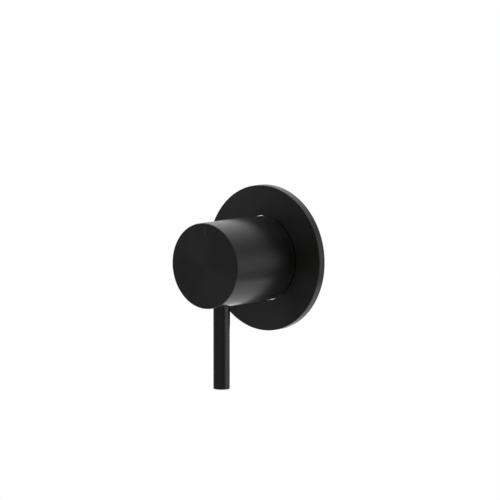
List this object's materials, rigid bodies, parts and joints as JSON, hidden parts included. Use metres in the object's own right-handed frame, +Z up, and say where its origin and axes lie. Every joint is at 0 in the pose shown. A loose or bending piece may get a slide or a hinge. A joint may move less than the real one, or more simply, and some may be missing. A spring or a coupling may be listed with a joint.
{
  "type": "shower shut-off valve",
  "caption": "Concealed shower shut-off valve with a round wall plate, a cylindrical knob and a pin lever that turns a quarter to open the water.",
  "frame": {"origin": "on the valve's axis, in the face of the finished wall that the plate lies on", "axes": "+Z up, along the pipe towards the outlet; -Y out of the wall towards the user, along the valve's axis; +X to the user's right"},
  "size_m": [0.07, 0.1045, 0.096],
  "materials": {
    "black_metal": "satin black coating over turned brass",
    "cast_brass": "hot-forged and blasted, machined at the ports and the neck",
    "turned_brass": "turned",
    "steel": "plain stainless steel",
    "disc_ceramic": "lapped alumina",
    "seal_rubber": "smooth black EPDM",
    "foam_rubber": "closed-cell foam",
    "glide_plastic": "natural acetal",
    "fibre": "pressed red fibre"
  },
  "bodies": {
    "fixed": {"valve_body": "cast_brass", "escutcheon": "black_metal", "escutcheon_seal": "foam_rubber", "mounting_sleeve": "black_metal", "sleeve_lock_ring": "turned_brass", "sleeve_o_ring": "seal_rubber", "glide_ring": "glide_plastic", "headpart_housing": "turned_brass", "housing_washer": "fibre", "fixed_disc": "disc_ceramic", "seat_seal": "seal_rubber", "seal_support_ring": "steel"},
    "handle": {"knob": "black_metal", "lever": "black_metal", "knob_grub_screw": "steel", "spindle_adapter": "turned_brass", "adapter_screw": "steel", "spindle": "turned_brass", "spindle_o_rings": "seal_rubber", "spindle_circlip": "steel", "slip_washer": "glide_plastic", "moving_disc": "disc_ceramic"}
  },
  "joints": [
    {"name": "handle_turn", "type": "hinge", "parent": "fixed", "child": "handle", "pos_m": [0, 0, 0], "axis": [0, -1, 0], "range_deg": [0, 90]}
  ]
}
